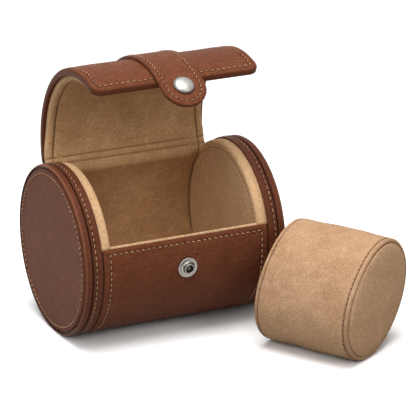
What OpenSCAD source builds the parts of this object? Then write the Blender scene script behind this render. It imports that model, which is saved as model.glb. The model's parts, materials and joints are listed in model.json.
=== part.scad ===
// Round travel case for one watch: a leather barrel with padded ends, a curved
// flap lid on a leather hinge, a strap that closes on a press stud, and a loose
// suede cushion that stands beside the open case. Millimetres, +Z up, the barrel
// along X, the origin on the table under the middle of the barrel.

/* [Barrel] */
// Outer diameter of the barrel and its end bands
barrel_d = 82; // [76:1:96]
// Length over both end faces
barrel_len = 103.4; // [96:0.2:130]
// Thickness of the cover leather
leather_t = 1.2; // [1:0.1:1.5]
// Thickness of the stiffening board in the wall
board_t = 1; // [0.8:0.1:1.4]
// Thickness of the suede lining in the wall
lining_t = 0.9; // [0.7:0.1:1.2]
// Angle of the front panel's top edge above the front
panel_edge_a = 16.5; // [14:0.5:24]
// Depth of the flat that the leather presses into where it rests
rest_flat = 0.4; // [0.2:0.1:0.6]

/* [Ends] */
// Width of the rounded piping round each end
piping_w = 4.2; // [3.4:0.1:5]
// Width of the stitched band beside the piping
band_w = 4.9; // [4:0.1:7]
// Thickness of the leather in the band and the piping
rim_t = 1.4; // [1.2:0.1:1.8]
// Thickness of the flat leather disc on each end
disc_t = 1.6; // [1.2:0.1:2.2]
// Width of the groove between the disc and the piping
groove_w = 0.7; // [0.5:0.1:1]
// How far the suede shoulder stands in from the band
shoulder_out = 5; // [3.5:0.1:7]
// How far the shoulder's rim lies below the band
shoulder_drop = 0.8; // [0.6:0.1:1.4]
// Thickness of the suede over the shoulder's core
suede_t = 1; // [0.8:0.1:1.3]

/* [Lid] */
// Thickness of the lid's padded suede lining
lid_lining_t = 2.6; // [2:0.1:3]
// Thickness of the lid's board
lid_board_t = 1.3; // [0.9:0.1:1.6]
// Thickness of the lid's leather
lid_leather_t = 2; // [1.6:0.1:2.3]
// Angle of the lid's front edge above the front, when closed
lid_edge_a = 3; // [0:0.5:6]
// Radius of the lid's two front corners
lid_corner_r = 4.5; // [3:0.5:8]
// Angle of the hinge line, from the front over the top
hinge_a = 133; // [128:1:138]
// Height of the hinge line above the barrel's surface
hinge_out = 1.5; // [1.2:0.1:2]
// Half angle of the soft gap that the hinge strips bridge
hinge_gap_a = 3; // [3:0.5:4.5]
// How far the lid stands open
lid_open_a = 63; // [40:1:80]

/* [Strap] */
// Width of the strap
strap_w = 22; // [18:0.5:28]
// Thickness of the strap's leather
strap_t = 1.3; // [1.1:0.1:1.6]
// Thickness of the strap's lining
strap_lining_t = 0.6; // [0.5:0.1:0.9]
// How far the tip's end lies past the lid's front edge
tip_len = 17.2; // [16:0.2:22]
// How far the snap's centre lies past the lid's front edge
snap_reach = 5.6; // [5.6:0.1:6.5]

/* [Snap] */
// Diameter of the snap's domed cap
cap_d = 10; // [9:0.5:12]
// Height of the cap's dome
cap_h = 2; // [1.6:0.1:2.6]
// Diameter of the stud's flange
flange_d = 10; // [9:0.5:10.5]
// Thickness of the stud's flange
flange_t = 0.8; // [0.6:0.1:1]
// Outer diameter of the stud's raised ring
nub_d = 5.2; // [4.6:0.1:5.6]
// Height of the stud's raised ring
nub_h = 2; // [1.6:0.1:2.4]
// Diameter of the hole in the stud
nub_hole_d = 3.6; // [3:0.1:4]
// Outer diameter of the socket
socket_d = 8.8; // [8.4:0.1:9.4]

/* [Cushion] */
// Longer half width of the oval section
cushion_a = 30.4; // [26:0.2:31]
// Shorter half width of the oval section
cushion_b = 23.7; // [20:0.2:25]
// Length between the two stitched seams
cushion_len = 46.4; // [38:0.2:52]
// Width of the welt between a stitched seam and the end face
welt_w = 2.2; // [1.6:0.1:3]
// How far each end face bulges past its welt
face_bulge = 1.7; // [1:0.1:2.4]
// Crown of the wrap over its seams
crown = 0.6; // [0.3:0.1:1]
// Thickness of the cushion's suede
wrap_t = 1.5; // [1.2:0.1:2]
// Height of the flat that the foam settles on
settle = 1.2; // [0.8:0.1:1.6]
// Place of the cushion beside the case
cushion_x = 60.3; // [60:0.5:70]
// Distance of the cushion in front of the barrel's axis
cushion_y = 70; // [70:0.5:90]
// Heading of the cushion's length, turned from X to the front
cushion_turn = 59; // [40:1:70]
// Roll of the oval about its length
cushion_roll = 45; // [35:1:55]

/* [Hidden] */
$fn = 96;

leather_brown = [0.45, 0.23, 0.15];
dark_brown = [0.33, 0.16, 0.1];
suede_tan = [0.76, 0.6, 0.43];
board_grey = [0.62, 0.58, 0.52];
nickel = [0.78, 0.77, 0.74];
foam_cream = [0.9, 0.87, 0.78];

// Clearances, each shared by the two pieces that meet there
shell_gap = 0.4;    // open joint between the band and the shell or lid
seat_gap = 0.1;     // shoulder in the shell's bore
lid_gap = 0.3;      // closed lid over the barrel's leather
post_gap = 0.1;     // post in the strap, rivet in the panel
nub_gap = 0.3;      // stud's ring in the socket
snap_gap = 0.3;     // socket's mouth over the flange
fold_gap = 0.5;     // strap and tip at the fold
glue_gap = 0.1;     // glue line under the strap
press_gap = 0.05;   // play round the flats that the socket and stud press

// Barrel
barrel_r = barrel_d / 2;
axis_h = barrel_r - rest_flat;
half_len = barrel_len / 2;
band_x = half_len - piping_w - band_w;
shell_x = band_x - shell_gap;
board_r = barrel_r - leather_t;
lining_r = board_r - board_t;
bore_r = lining_r - lining_t;
back_edge_a = hinge_a + hinge_gap_a;
edge_wrap_a = 1.2;  // leather turned round the panel's edge, degrees
lining_lip_a = 0.7; // lining that stands above the panel's edge, degrees
edge_play_a = lining_lip_a + 0.4;   // shoulder's rim beside that lip, degrees
rim_end_a = hinge_a - 2 * hinge_gap_a;
reach = 4 * barrel_d;

// Ends
rim_in_r = barrel_r - rim_t;
disc_r = rim_in_r - groove_w;
crease = 0.3;
shoulder_r = barrel_r - shoulder_drop;
shoulder_x = band_x - shoulder_out;
shoulder_round = 1.6;
end_board_x = half_len - disc_t;

// Lid
lid_in_r = barrel_r + lid_gap;
lid_board_r = lid_in_r + lid_lining_t;
lid_leather_r = lid_board_r + lid_board_t;
lid_r = lid_leather_r + lid_leather_t;
lid_back_a = hinge_a - hinge_gap_a;
lid_x = shell_x;
lid_wrap = 1.2;     // leather turned round the lid's ends
lid_wrap_a = 1.2;   // leather turned round the lid's front, degrees
lid_soft = 0.7;
hinge_r = barrel_r + hinge_out;
lining_in = 0.4;    // edge of the suede inside the leather's, at the lid and hinge
lining_in_a = 0.5;  // the same at the lid's front, degrees
leather_pull = 2;   // how far each end of a hinge strip runs on before it bends
suede_pull = 2.4;

// Strap and snap
strap_in_r = lid_r + glue_gap;
strap_mid_r = lid_r + strap_lining_t;
strap_r = strap_mid_r + strap_t;
strap_back_a = lid_back_a - 5;
tip_a = lid_edge_a - (tip_len + 4) / strap_r * 180 / PI;    // beyond the tip's round end
snap_a = lid_edge_a - snap_reach / strap_in_r * 180 / PI;
fold_a = fold_gap / strap_r * 180 / PI;
flange_top = barrel_r + flange_t;
socket_mouth = flange_top + snap_gap;
nub_top = flange_top + nub_h;
press_in = 0.1;     // depth of those flats at their shallowest
post_r = 1.4;
rivet_r = 0.9;
spring_wire = 0.5;
tip_ease = 0.2;
strap_soft = 0.5;
stud_base = sqrt(pow(barrel_r, 2) - pow(flange_d / 2, 2)) - press_in;
socket_top = strap_in_r + press_in;

// Cushion
seam_s = cushion_len / 2;
welt_s = seam_s + welt_w;
end_card_t = 1;
card_off = 2.6;     // end card and its face inside the oval's outline
oval_power = 2.15;
oval_steps = 44;

// Point of the oval section, moved out by off and turned by the roll
function oval_sign(v) = v < 0 ? -1 : 1;
function oval_u(t) = oval_sign(cos(t)) * pow(abs(cos(t)), 2 / oval_power);
function oval_v(t) = oval_sign(sin(t)) * pow(abs(sin(t)), 2 / oval_power);
function oval_h(t, off) = (cushion_a + off) * oval_u(t) * sin(cushion_roll)
    + (cushion_b + off) * oval_v(t) * cos(cushion_roll);
function oval_z(t, off) = (cushion_a + off) * oval_u(t) * cos(cushion_roll)
    - (cushion_b + off) * oval_v(t) * sin(cushion_roll);
cushion_h = max([for (i = [0 : oval_steps - 1]) oval_z(i * 360 / oval_steps, 0)]) - settle;
function ring(s, off) = [
    for (i = [0 : oval_steps - 1])
        let (t = i * 360 / oval_steps)
        [s, oval_h(t, off), max(oval_z(t, off), -cushion_h - min(off, 0))]
];
function flat_list(rows) = [for (row = rows) each row];

// Closed solid through a loop of rings: capped at both ends, or joined end to end
module ring_solid(rings, closed = false) {
    n = oval_steps;
    count = len(rings);
    last = closed ? count : count - 1;
    sides = [
        for (k = [0 : last - 1], i = [0 : n - 1])
            let (a = k * n + i, b = k * n + (i + 1) % n)
            let (c = ((k + 1) % count) * n + i, d = ((k + 1) % count) * n + (i + 1) % n)
            each [[a, d, b], [a, c, d]]
    ];
    caps = closed ? [] : [
        [for (i = [0 : n - 1]) i],
        [for (i = [n - 1 : -1 : 0]) (count - 1) * n + i]
    ];
    polyhedron(points = flat_list(rings), faces = concat(sides, caps), convexity = 6);
}

// Turns a shape made about Z so that it lies round the barrel's axis, with
// angle 0 at the front and 90 at the top
module roll() {
    translate([0, 0, axis_h]) rotate([90, 0, -90]) children();
}

// Mirrors an end that is made on the left over to the right
module on_side(side) {
    if (side == "left") children();
    else mirror([1, 0, 0]) children();
}

// Everything above the table
module above_table() {
    difference() {
        children();
        translate([-reach / 2, -reach / 2, -reach]) cube([reach, reach, reach]);
    }
}

// Profile in (radius, length) turned through part of a circle
module sweep(from_a, to_a) {
    rotate([0, 0, from_a]) rotate_extrude(angle = to_a - from_a) children();
}

// Rectangle in (radius, length) with its two outer corners rounded
module band_profile(r0, r1, half_w, round_r) {
    difference() {
        translate([r0, -half_w]) square([r1 - r0, 2 * half_w]);
        for (s = [-1, 1])
            difference() {
                translate([r1 - round_r, s > 0 ? half_w - round_r : -half_w - 1])
                    square([round_r + 1, round_r + 1]);
                translate([r1 - round_r, s * (half_w - round_r)]) circle(round_r, $fn = 48);
            }
    }
}

// Places a shape made along +Z on the barrel: its axis points out at angle a
module at_angle(a) {
    translate([0, 0, axis_h]) rotate([90 - a, 0, 0]) children();
}

// Opens the lid about the hinge line
module opened() {
    hinge_y = -hinge_r * cos(hinge_a);
    hinge_z = axis_h + hinge_r * sin(hinge_a);
    translate([0, hinge_y, hinge_z]) rotate([-lid_open_a, 0, 0])
        translate([0, -hinge_y, -hinge_z]) children();
}

// Ends

module end_disc() {
    edge = 0.6;
    color(leather_brown) translate([-half_len, 0, axis_h]) rotate([0, 90, 0])
        rotate_extrude() polygon([
            [0, 0], [disc_r - edge, 0],
            for (a = [15 : 15 : 75]) [disc_r - edge + edge * sin(a), edge - edge * cos(a)],
            [disc_r, edge], [disc_r, disc_t], [0, disc_t]
        ]);
}

module end_piping() {
    w = piping_w - crease;
    big = rim_t - 0.1;
    small = 0.6;
    set_in = 0.2;
    color(leather_brown) above_table()
        translate([-half_len + set_in, 0, axis_h]) rotate([0, 90, 0]) rotate_extrude()
            polygon([
                [rim_in_r, 0.4], [rim_in_r + 0.3, 0],
                for (a = [0 : 15 : 90]) [barrel_r - big + big * sin(a), big - big * cos(a)],
                for (a = [0 : 30 : 90])
                    [barrel_r - small + small * cos(a), w - set_in - small + small * sin(a)],
                [rim_in_r, w - set_in]
            ]);
}

module end_band() {
    color(dark_brown) above_table() roll()
        translate([0, 0, band_x + band_w / 2])
            rotate_extrude() band_profile(rim_in_r, barrel_r, band_w / 2, 0.6);
}

// Board that fills the end behind the disc, as far in as the band reaches
module end_board() {
    color(board_grey) translate([-end_board_x, 0, axis_h]) rotate([0, 90, 0])
        cylinder(r = rim_in_r, h = end_board_x - band_x);
}

// Shoulder from its rounded rim out to end_x, smaller all round by shrink. The
// rim stands only in the mouth, short of the hinge, and the rest seats in the bore.
module shoulder_body(shrink, end_x) {
    top = shoulder_r - shrink;
    face = shoulder_x + shrink;
    seat_r = bore_r - seat_gap - shrink;
    side_a = edge_play_a + shrink / bore_r * 180 / PI;
    difference() {
        roll() rotate_extrude() polygon([
            [0, face], [top - shoulder_round, face],
            for (a = [15 : 15 : 75])
                [top - shoulder_round + shoulder_round * sin(a),
                    face + shoulder_round - shoulder_round * cos(a)],
            [top, face + shoulder_round], [top, end_x], [0, end_x]
        ]);
        roll() sweep(rim_end_a - side_a, 360 + panel_edge_a + side_a)
            translate([seat_r, shoulder_x - 1]) square([shoulder_r, barrel_r]);
    }
}

module shoulder_suede() {
    color(suede_tan) difference() {
        shoulder_body(0, band_x);
        shoulder_body(suede_t, band_x + 1);
    }
}

module shoulder_core() {
    color(board_grey) shoulder_body(suede_t, band_x);
}

// Barrel

module barrel_layer(r0, r1, short_a = 0) {
    roll() sweep(back_edge_a, 360 + panel_edge_a - short_a)
        translate([r0, -shell_x]) square([r1 - r0, 2 * shell_x]);
}

module barrel_leather() {
    color(leather_brown) above_table() difference() {
        barrel_layer(lining_r, barrel_r);
        roll() sweep(back_edge_a - 1, 360 + panel_edge_a - edge_wrap_a)
            translate([lining_r - 1, -barrel_len / 2]) square([board_t + 1, barrel_len]);
        at_angle(snap_a) cylinder(r = rivet_r + post_gap, h = barrel_d);
        at_angle(snap_a) translate([0, 0, stud_base])
            cylinder(r = flange_d / 2 + press_gap, h = barrel_r);
    }
}

module barrel_board() {
    color(board_grey) difference() {
        barrel_layer(lining_r, board_r, edge_wrap_a);
        at_angle(snap_a) cylinder(r = rivet_r + post_gap, h = barrel_d);
    }
}

module barrel_lining() {
    color(suede_tan) barrel_layer(bore_r, lining_r, -lining_lip_a);
}

// Lid

// Plan corners of the lid's front edge, cut square to the barrel there
module front_corners(half_w, edge_a, corner_r) {
    cut = 4;
    for (s = [-1, 1])
        at_angle(edge_a) translate([s * half_w, 0, barrel_r / 2])
            linear_extrude(barrel_r)
                difference() {
                    translate([s > 0 ? -corner_r : -cut, -cut])
                        square([corner_r + cut, corner_r + cut]);
                    translate([-s * corner_r, corner_r]) circle(corner_r, $fn = 64);
                }
}

module lid_leather() {
    color(leather_brown) opened() difference() {
        roll() sweep(lid_edge_a, lid_back_a)
            band_profile(lid_board_r, lid_r, lid_x, lid_soft);
        roll() sweep(lid_edge_a + lid_wrap_a, lid_back_a + 1)
            translate([lid_board_r - 1, lid_wrap - lid_x])
                square([lid_board_t + 1, 2 * (lid_x - lid_wrap)]);
        front_corners(lid_x, lid_edge_a, lid_corner_r);
        at_angle(lid_edge_a) translate([-lid_x - 1, 0, lid_r])
            rotate([45, 0, 0]) translate([0, -lid_soft, -lid_soft])
                cube([2 * lid_x + 2, 2 * lid_soft, 2 * lid_soft]);
    }
}

module lid_board() {
    inner_corner = lid_corner_r - lid_wrap;
    color(board_grey) opened() difference() {
        roll() sweep(lid_edge_a + lid_wrap_a, lid_back_a)
            translate([lid_board_r, lid_wrap - lid_x])
                square([lid_board_t, 2 * (lid_x - lid_wrap)]);
        front_corners(lid_x - lid_wrap, lid_edge_a + lid_wrap_a, inner_corner);
    }
}

module lid_lining() {
    half_w = lid_x - lining_in;
    color(suede_tan) opened() difference() {
        roll() sweep(lid_edge_a + lining_in_a, lid_back_a)
            translate([lid_in_r, -half_w]) square([lid_lining_t, 2 * half_w]);
        front_corners(half_w, lid_edge_a + lining_in_a, lid_corner_r);
    }
}

// Hinge strips, bent to the open lid

function on_circle(r, a) = [-r * cos(a), axis_h + r * sin(a)];
function hinge_point() = on_circle(hinge_r, hinge_a);
function opened_vec(v) = [
    cos(lid_open_a) * v[0] + sin(lid_open_a) * v[1],
    -sin(lid_open_a) * v[0] + cos(lid_open_a) * v[1]
];
function opened_point(p) = hinge_point() + opened_vec(p - hinge_point());
function bezier(p, t) = pow(1 - t, 3) * p[0] + 3 * t * pow(1 - t, 2) * p[1]
    + 3 * t * t * (1 - t) * p[2] + pow(t, 3) * p[3];
function bezier_dir(p, t) = let (
    d = 3 * pow(1 - t, 2) * (p[1] - p[0]) + 6 * t * (1 - t) * (p[2] - p[1])
        + 3 * t * t * (p[3] - p[2])
) d / norm(d);
// Control points of a strip from the barrel's back edge to the lid's back edge
function strip_curve(r_barrel, r_lid, pull) = let (
    start = on_circle(r_barrel, back_edge_a),
    finish = opened_point(on_circle(r_lid, lid_back_a)),
    out = [-sin(back_edge_a), -cos(back_edge_a)],
    into = opened_vec([-sin(lid_back_a), -cos(lid_back_a)])
) [start, start + pull * out, finish - pull * into, finish];

module hinge_strip(r_barrel, r_lid, t, half_w, pull) {
    steps = 8;
    p = strip_curve(r_barrel, r_lid, pull);
    function side(k, d) = let (v = bezier_dir(p, k / steps))
        bezier(p, k / steps) + d * [v[1], -v[0]];
    rotate([90, 0, 90]) translate([0, 0, -half_w]) linear_extrude(2 * half_w)
        polygon(concat(
            [for (k = [0 : steps]) side(k, t / 2)],
            [for (k = [steps : -1 : 0]) side(k, -t / 2)]
        ));
}

module hinge_leather() {
    color(leather_brown)
        hinge_strip(barrel_r - leather_t / 2, lid_r - leather_t / 2, leather_t, shell_x,
            leather_pull);
}

module hinge_lining() {
    color(suede_tan)
        hinge_strip(bore_r + lining_t / 2, lid_in_r + lining_t / 2, lining_t,
            shell_x - lining_in, suede_pull);
}

// Strap and snap

module strap_layer(r0, r1, from_a, to_a, round_r) {
    if (round_r > 0)
        roll() sweep(from_a, to_a) band_profile(r0, r1, strap_w / 2, round_r);
    else
        roll() sweep(from_a, to_a) translate([r0, -strap_w / 2]) square([r1 - r0, strap_w]);
}

module strap() {
    color(leather_brown) opened()
        strap_layer(strap_mid_r, strap_r, lid_edge_a + fold_a / 2, strap_back_a, strap_soft);
}

module strap_lining() {
    color(dark_brown) opened()
        strap_layer(strap_in_r, strap_mid_r, lid_edge_a + fold_a / 2, strap_back_a, 0);
}

// Rounds the tip's end and drills the post's hole
module tip_outline() {
    tip_reach = tip_len - snap_reach;
    round_r = strap_w / 2 + tip_ease;
    difference() {
        children();
        at_angle(snap_a) linear_extrude(2 * barrel_r) difference() {
            translate([-strap_w, -tip_reach - strap_w]) square([2 * strap_w, strap_w + round_r]);
            translate([0, round_r - tip_reach]) circle(round_r);
        }
        at_angle(snap_a) cylinder(r = post_r + post_gap, h = 2 * barrel_r);
    }
}

module strap_tip() {
    color(leather_brown) opened() tip_outline()
        strap_layer(strap_mid_r, strap_r, tip_a, lid_edge_a - fold_a / 2, strap_soft);
}

// Lining of the tip, with the flat that the socket presses into it
module strap_tip_lining() {
    color(dark_brown) opened() difference() {
        tip_outline()
            strap_layer(strap_in_r, strap_mid_r, tip_a, lid_edge_a - fold_a / 2, 0);
        at_angle(snap_a) cylinder(r = socket_d / 2 + press_gap, h = socket_top);
    }
}

// Domed cap with a rolled rim, and the post that holds the socket
module snap_cap() {
    cap_r = cap_d / 2;
    rim = 0.45;
    color(nickel) opened() at_angle(snap_a) translate([0, 0, strap_r]) union() {
        rotate_extrude() polygon([
            [0, 0], [cap_r - rim, 0],
            for (a = [-60 : 30 : 60]) [cap_r - rim + rim * cos(a), rim + rim * sin(a)],
            for (k = [1 : 8]) let (u = 1 - k / 8)
                [(cap_r - rim) * u, 2 * rim + (cap_h - 2 * rim) * sqrt(1 - u * u)]
        ]);
        translate([0, 0, socket_top - strap_r]) cylinder(r = post_r, h = strap_r - socket_top + 0.2);
    }
}

module snap_socket() {
    socket_r = socket_d / 2;
    depth = nub_top + 0.3 - socket_mouth;
    tall = socket_top - socket_mouth;
    mouth_r = nub_d / 2 + nub_gap;
    groove_z = flange_top + nub_h * 0.45 - socket_mouth;
    edge = 0.5;
    color(nickel) opened() at_angle(snap_a) translate([0, 0, socket_mouth])
        rotate_extrude() polygon([
            [mouth_r, 0], [socket_r - edge, 0], [socket_r, edge],
            [socket_r, tall * 0.55], [socket_r - edge, tall], [0, tall], [0, depth],
            [mouth_r, depth], [mouth_r, groove_z + spring_wire],
            [mouth_r + spring_wire, groove_z + spring_wire],
            [mouth_r + spring_wire, groove_z - spring_wire],
            [mouth_r, groove_z - spring_wire]
        ]);
}

// Split wire ring that grips the stud, in the socket's groove
module socket_spring() {
    groove_z = flange_top + nub_h * 0.45;
    wire_r = spring_wire / 2;
    ring_r = nub_d / 2 + nub_gap - 0.15 + wire_r;
    color(nickel) opened() at_angle(snap_a) translate([0, 0, groove_z])
        rotate([0, 0, 20]) rotate_extrude(angle = 320)
            translate([ring_r, 0]) circle(wire_r, $fn = 16);
}

// Flange in a flat pressed into the panel, with a raised ring round a hole
module snap_stud() {
    flange_r = flange_d / 2;
    nub_r = nub_d / 2;
    hole_r = nub_hole_d / 2;
    lip = 0.35;
    floor_z = flange_t * 0.6;
    base = stud_base - barrel_r;
    color(nickel) at_angle(snap_a) translate([0, 0, barrel_r]) rotate_extrude() polygon([
        [rivet_r + post_gap, base], [flange_r, base], [flange_r, flange_t - 0.3],
        [flange_r - 0.3, flange_t], [nub_r - 0.2, flange_t],
        [nub_r - 0.2, flange_t + nub_h * 0.5], [nub_r, flange_t + nub_h - lip],
        [nub_r - 0.15, flange_t + nub_h - 0.1], [nub_r - lip, flange_t + nub_h],
        [hole_r, flange_t + nub_h - 0.2], [hole_r, floor_z], [rivet_r + post_gap, floor_z]
    ]);
}

// Rivet that clinches the stud to the panel, under the lining
module stud_rivet() {
    head_t = 0.4;
    color(nickel) at_angle(snap_a) union() {
        translate([0, 0, lining_r + 0.1])
            cylinder(r = rivet_r, h = barrel_r + flange_t + 0.7 - lining_r - 0.1);
        translate([0, 0, barrel_r + flange_t * 0.6])
            cylinder(r = rivet_r + 0.45, h = head_t);
    }
}

// Cushion

module cushion_place() {
    translate([cushion_x, -cushion_y, cushion_h]) rotate([0, 0, -cushion_turn]) children();
}

module cushion_wrap() {
    inside = -wrap_t;
    color(suede_tan) cushion_place() ring_solid([
        ring(-seam_s, -0.9), ring(-seam_s + 0.9, -0.2), ring(-seam_s * 0.75, crown * 0.6),
        ring(0, crown), ring(seam_s * 0.75, crown * 0.6), ring(seam_s - 0.9, -0.2),
        ring(seam_s, -0.9), ring(seam_s, inside), ring(-seam_s, inside)
    ], closed = true);
}

module cushion_foam() {
    color(foam_cream) cushion_place()
        ring_solid([ring(-seam_s, -wrap_t), ring(seam_s, -wrap_t)]);
}

// Pieces of one cushion end, made on the +s side
module cushion_side(side) {
    cushion_place() if (side == "right") children();
    else mirror([1, 0, 0]) children();
}

module cushion_card(side) {
    color(board_grey) cushion_side(side)
        ring_solid([ring(seam_s, -card_off), ring(seam_s + end_card_t, -card_off)]);
}

module cushion_welt(side) {
    color(suede_tan) cushion_side(side) ring_solid([
        ring(seam_s, -0.9), ring(seam_s + 0.6, -0.2), ring(welt_s - 0.6, -0.5),
        ring(welt_s, -1.5), ring(welt_s, -card_off), ring(seam_s, -card_off)
    ], closed = true);
}

module cushion_face(side) {
    base = seam_s + end_card_t;
    color(suede_tan) cushion_side(side) ring_solid([
        ring(base, -card_off), ring(welt_s - 0.3, -card_off),
        ring(welt_s + face_bulge * 0.35, -card_off - 1.2),
        ring(welt_s + face_bulge * 0.72, -card_off - 5),
        ring(welt_s + face_bulge * 0.93, -card_off - 10),
        ring(welt_s + face_bulge, -card_off - 16)
    ]);
}

on_side("left") end_disc();  // left_end_disc
on_side("left") end_piping();  // left_end_piping
on_side("left") end_band();  // left_end_band
on_side("left") end_board();  // left_end_board
on_side("left") shoulder_core();  // left_shoulder_core
on_side("left") shoulder_suede();  // left_shoulder_suede
on_side("right") end_disc();  // right_end_disc
on_side("right") end_piping();  // right_end_piping
on_side("right") end_band();  // right_end_band
on_side("right") end_board();  // right_end_board
on_side("right") shoulder_core();  // right_shoulder_core
on_side("right") shoulder_suede();  // right_shoulder_suede
barrel_leather();
barrel_board();
barrel_lining();
hinge_leather();
hinge_lining();
lid_leather();
lid_board();
lid_lining();
strap();
strap_lining();
strap_tip();
strap_tip_lining();
snap_cap();
snap_socket();
socket_spring();
snap_stud();
stud_rivet();
cushion_wrap();
cushion_foam();
cushion_welt("left");  // cushion_left_welt
cushion_welt("right");  // cushion_right_welt
cushion_card("left");  // cushion_left_board
cushion_card("right");  // cushion_right_board
cushion_face("left");  // cushion_left_face
cushion_face("right");  // cushion_right_face
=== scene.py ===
import json
import math

import bmesh
import bpy
import numpy as np
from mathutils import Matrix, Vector, kdtree, noise


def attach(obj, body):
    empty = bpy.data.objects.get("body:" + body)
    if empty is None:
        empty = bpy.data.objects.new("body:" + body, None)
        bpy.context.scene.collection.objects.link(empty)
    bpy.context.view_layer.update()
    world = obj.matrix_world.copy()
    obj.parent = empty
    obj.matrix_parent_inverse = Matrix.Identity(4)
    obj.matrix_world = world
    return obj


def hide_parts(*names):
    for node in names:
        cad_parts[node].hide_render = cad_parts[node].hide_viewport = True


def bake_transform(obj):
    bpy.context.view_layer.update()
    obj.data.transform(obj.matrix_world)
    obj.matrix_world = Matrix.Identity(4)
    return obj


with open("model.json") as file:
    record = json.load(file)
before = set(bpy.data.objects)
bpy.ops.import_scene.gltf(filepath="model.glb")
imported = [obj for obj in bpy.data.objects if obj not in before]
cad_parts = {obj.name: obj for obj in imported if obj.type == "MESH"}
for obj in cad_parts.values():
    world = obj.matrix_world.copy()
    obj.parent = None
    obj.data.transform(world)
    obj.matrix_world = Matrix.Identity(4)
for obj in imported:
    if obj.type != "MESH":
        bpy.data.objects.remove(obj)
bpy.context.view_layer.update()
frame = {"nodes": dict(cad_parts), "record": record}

MM = 0.001

# Each end's name and its direction along x
SIDES = {"left": -1, "right": 1}

# Sizes in millimetres, as in the part's source
BARREL_R = 41.0
AXIS_H = 40.6
HALF_LEN = 51.7
PIPING_W = 4.2
BAND_W = 4.9
BAND_X = HALF_LEN - PIPING_W - BAND_W
SHELL_X = BAND_X - 0.4
BORE_R = 37.9
DISC_R = 38.9
RIM_IN_R = 39.6
SHOULDER_X = 37.6
SHOULDER_R = 40.2
SEAT_R = 37.8
PANEL_EDGE_A = 16.5
HINGE_A = 133.0
HINGE_R = 42.5
BACK_EDGE_A = 136.0
LID_BACK_A = 130.0
LID_EDGE_A = 3.0
LID_OPEN_A = 63.0
LID_IN_R = BARREL_R + 0.3
LID_LINING_T = 2.6
LID_RIM_T = 3.3
LID_R = LID_IN_R + LID_LINING_T + LID_RIM_T
STRAP_IN_R = LID_R + 0.1
STRAP_R = LID_R + 1.9
STRAP_HALF_W = 11.0
COVER_T = 1.2
LINING_T = 0.9
STRAP_BACK_A = 125.0
TIP_LEN = 17.2
SNAP_REACH = 5.6
CUSHION_A = 30.4
CUSHION_B = 23.7
CUSHION_POWER = 2.15
CUSHION_SETTLE = 1.2
CUSHION_SEAM = 23.2
CUSHION_WELT = 25.4
CUSHION_PLACE = (60.3, -70.0)
CUSHION_TURN = 59.0
CUSHION_ROLL = 45.0
COVER_SEAM_IN = 3.4
LINING_SEAM_IN = 3.8
STRAP_SEAM_IN = 2.7
SHOULDER_SEAM_IN = 3.6
DISC_SEAM_R = DISC_R - 2.2
BAND_SEAM_H = PIPING_W + 1.5

# Points round each turned piece
DISC_STEPS = 144
RIM_STEPS = 168
SEAM_STEPS = 240
SHOULDER_STEPS = 240
SNAP_STEPS = 72
CUSHION_STEPS = 168

# Each seam's stitches in millimetres: pitch, length and thickness
COVER_STITCH = (2.85, 1.95, 0.60)
STRAP_STITCH = (2.70, 1.85, 0.58)
DISC_STITCH = (2.60, 1.85, 0.66)
BAND_STITCH = (2.90, 1.95, 0.56)
LINING_STITCH = (1.90, 1.20, 0.42)
SHOULDER_STITCH = (2.20, 1.30, 0.34)
CUSHION_STITCH = (2.50, 1.50, 0.38)


# Camera and light

def add_object(name, data):
    obj = bpy.data.objects.new(name, data)
    bpy.context.scene.collection.objects.link(obj)
    return obj


def aim(obj, target):
    """Turns a camera or lamp so that it looks at a point, with no roll."""
    away = (Vector(target) - obj.location).normalized()
    obj.rotation_euler = away.to_track_quat("-Z", "Y").to_euler()


def add_camera():
    """The photograph's viewpoint: 25.5 degrees round to the left, 20 degrees up."""
    turn, lift, distance = math.radians(25.5), math.radians(20.0), 1.4
    back = Vector((-math.sin(turn) * math.cos(lift), -math.cos(turn) * math.cos(lift),
                   math.sin(lift)))
    right = Vector((math.cos(turn), -math.sin(turn), 0.0))
    up = back.cross(right)
    aside, above = 0.0271, 0.0120
    target = Vector((0, 0, 0.041)) + aside * right + above * up
    data = bpy.data.cameras.new("camera")
    data.sensor_fit = "HORIZONTAL"
    data.sensor_width = 36.0
    data.lens = 253.36
    data.clip_start = 0.05
    data.clip_end = 20.0
    camera = add_object("camera", data)
    camera.location = target + distance * back
    aim(camera, target)
    bpy.context.scene.camera = camera


def add_lamp(name, place, size, power):
    data = bpy.data.lights.new(name, "AREA")
    data.shape = "DISK"
    data.size = size
    data.energy = power
    lamp = add_object(name, data)
    lamp.location = place
    aim(lamp, (0.01, -0.01, 0.06))


add_camera()


# Materials

class Socket:
    """One output of a node. Python's operators on it add Math nodes."""

    def __init__(self, nodes, output):
        self.nodes = nodes
        self.output = output

    def math(self, operation, *values):
        return self.nodes.node("ShaderNodeMath", {"operation": operation}, *values)

    def __add__(self, other):
        return self.math("ADD", self, other)

    __radd__ = __add__

    def __mul__(self, other):
        return self.math("MULTIPLY", self, other)

    __rmul__ = __mul__

    def __sub__(self, other):
        return self.math("SUBTRACT", self, other)

    def __rsub__(self, other):
        return self.math("SUBTRACT", other, self)

    def either(self, other):
        return self.math("MAXIMUM", self, other)

    def clamped(self):
        return self.nodes.node("ShaderNodeClamp", {}, self, 0.0, 1.0)

    def ramp(self, low, high):
        """0 below low, 1 above high and smooth between them."""
        settings = {"interpolation_type": "SMOOTHSTEP"}
        return self.nodes.node("ShaderNodeMapRange", settings, self, low, high, 0.0, 1.0)


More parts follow.
